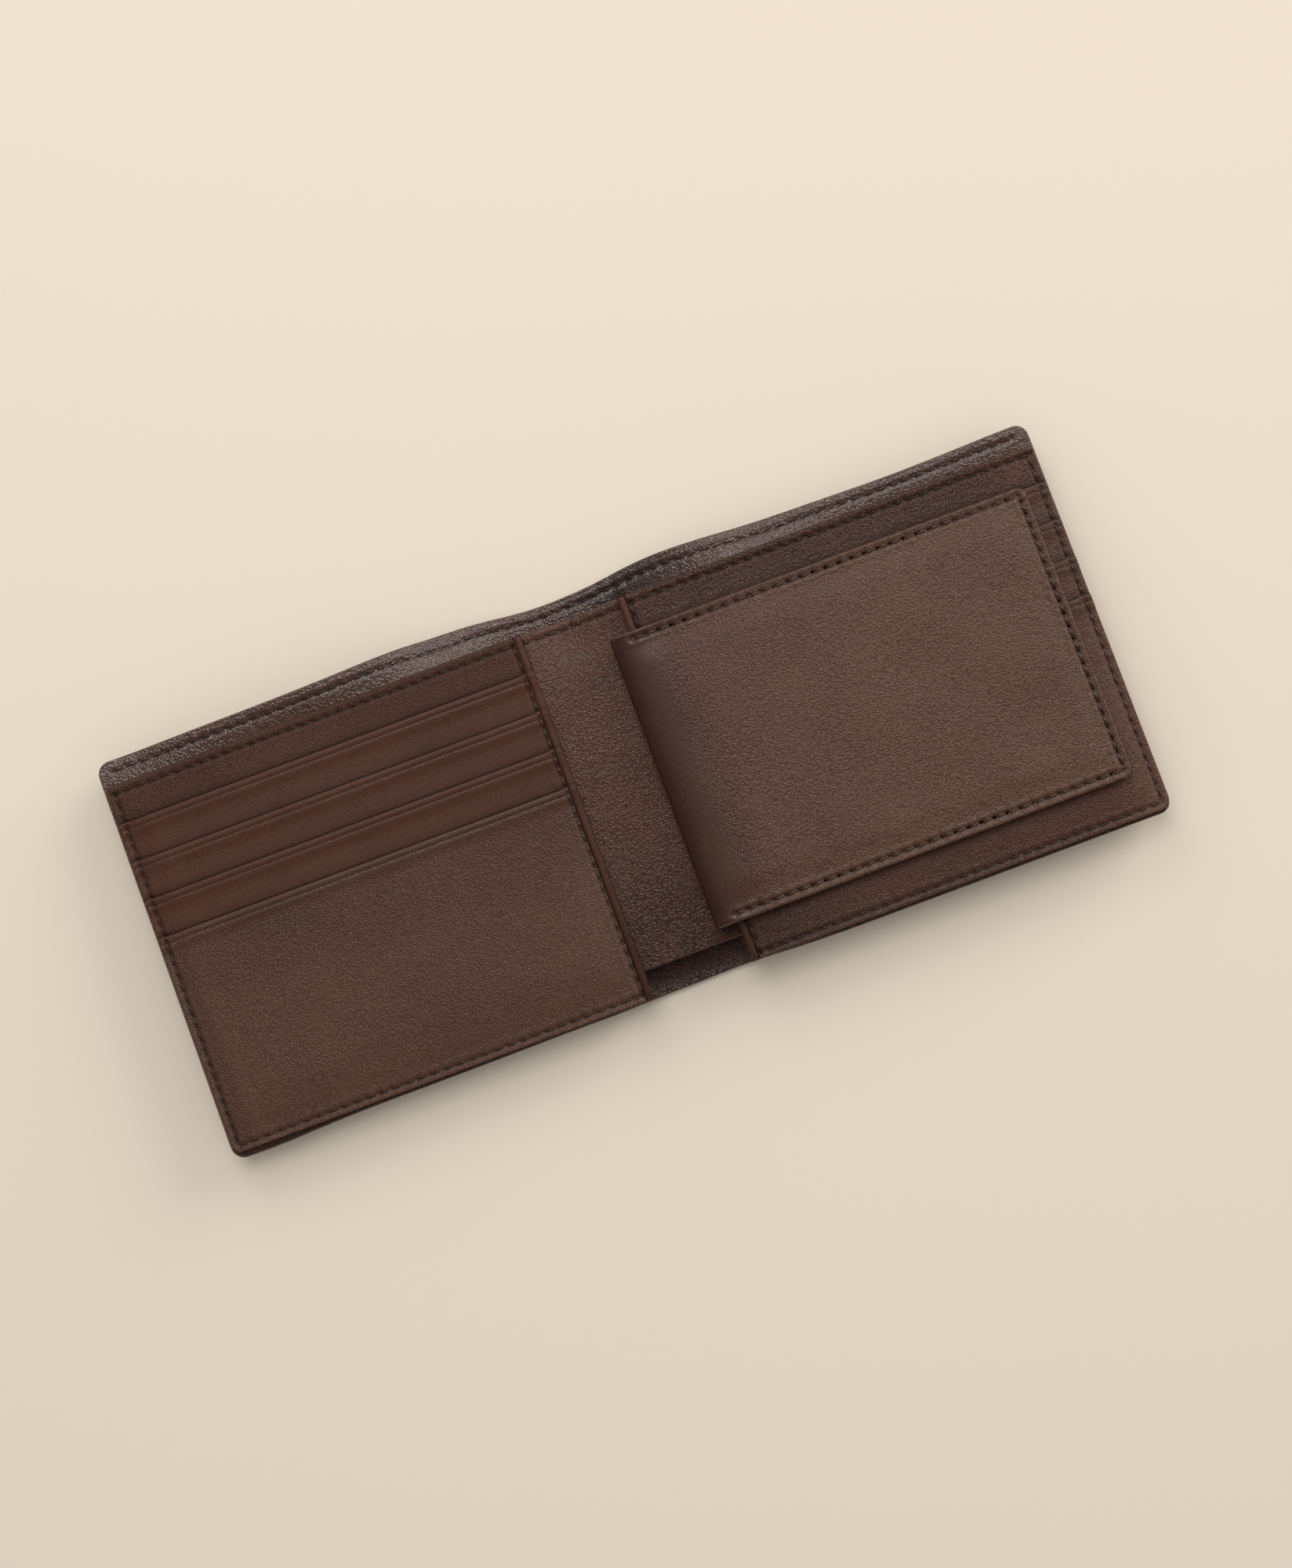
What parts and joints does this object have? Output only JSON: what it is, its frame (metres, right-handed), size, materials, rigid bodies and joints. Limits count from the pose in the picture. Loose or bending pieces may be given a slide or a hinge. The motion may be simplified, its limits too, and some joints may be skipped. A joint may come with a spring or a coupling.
{
  "type": "bifold wallet",
  "caption": "Open bifold leather wallet with stepped card slots, a bill compartment and a removable fold-over card case with a clear window.",
  "frame": {"origin": "outer face of the spine, at the middle of the open wallet, on the surface it lies on", "axes": "+X along the open length towards the half with the card case, +Y up the height of the wallet, +Z out of the inside"},
  "size_m": [0.224, 0.0938, 0.0166],
  "materials": {
    "cover_leather": "pebbled, soft sheen",
    "lining_leather": "pebbled, soft sheen",
    "divider_leather": "pebbled, soft sheen",
    "card_panel_leather": "pebbled, soft sheen",
    "case_leather": "pebbled, soft sheen",
    "case_inner_leather": "smooth, satin",
    "window_film": "clear, glossy"
  },
  "bodies": {
    "right_half": {"right_cover": "cover_leather", "right_lining": "lining_leather", "right_divider": "divider_leather", "right_slip_pocket_welt": "divider_leather", "right_card_backing": "card_panel_leather", "right_card_pocket_1": "card_panel_leather", "right_card_pocket_2": "card_panel_leather", "right_card_pocket_3": "card_panel_leather", "right_card_pocket_4": "card_panel_leather", "right_edge_binding": "card_panel_leather"},
    "spine": {"spine_cover": "cover_leather", "spine_lining": "lining_leather", "spine_divider": "divider_leather"},
    "left_half": {"left_cover": "cover_leather", "left_lining": "lining_leather", "left_divider": "divider_leather", "left_slip_pocket_welt": "divider_leather", "left_card_backing": "card_panel_leather", "left_card_pocket_1": "card_panel_leather", "left_card_pocket_2": "card_panel_leather", "left_card_pocket_3": "card_panel_leather", "left_card_pocket_4": "card_panel_leather", "left_edge_binding": "card_panel_leather"},
    "case_back": {"case_back_leaf": "case_leather", "case_back_card_pocket": "case_inner_leather"},
    "case_spine": {"case_spine": "case_leather"},
    "case_front": {"case_front_leather": "case_leather", "case_front_lining": "case_inner_leather", "case_window_film": "window_film", "case_window_frame": "case_inner_leather"}
  },
  "joints": [
    {"name": "right_fold", "type": "hinge", "parent": "right_half", "child": "spine", "pos_m": [0.0062, 0, 0.00942], "axis": [0, 1, 0], "range_deg": [0, 90]},
    {"name": "left_fold", "type": "hinge", "parent": "spine", "child": "left_half", "pos_m": [-0.0062, 0, 0.00942], "axis": [0, 1, 0], "range_deg": [0, 90]},
    {"name": "case_slide", "type": "slide", "parent": "right_half", "child": "case_back", "axis": [1, 0, 0], "range_m": [-0.014, 0]},
    {"name": "case_spine_turn", "type": "hinge", "parent": "case_back", "child": "case_spine", "pos_m": [0.01024, 0, 0.00967], "axis": [0, 1, 0], "range_deg": [-10, 0]},
    {"name": "case_front_turn", "type": "hinge", "parent": "case_spine", "child": "case_front", "pos_m": [0.01024, 0, 0.01655], "axis": [0, 1, 0], "range_deg": [-165, 0]}
  ]
}
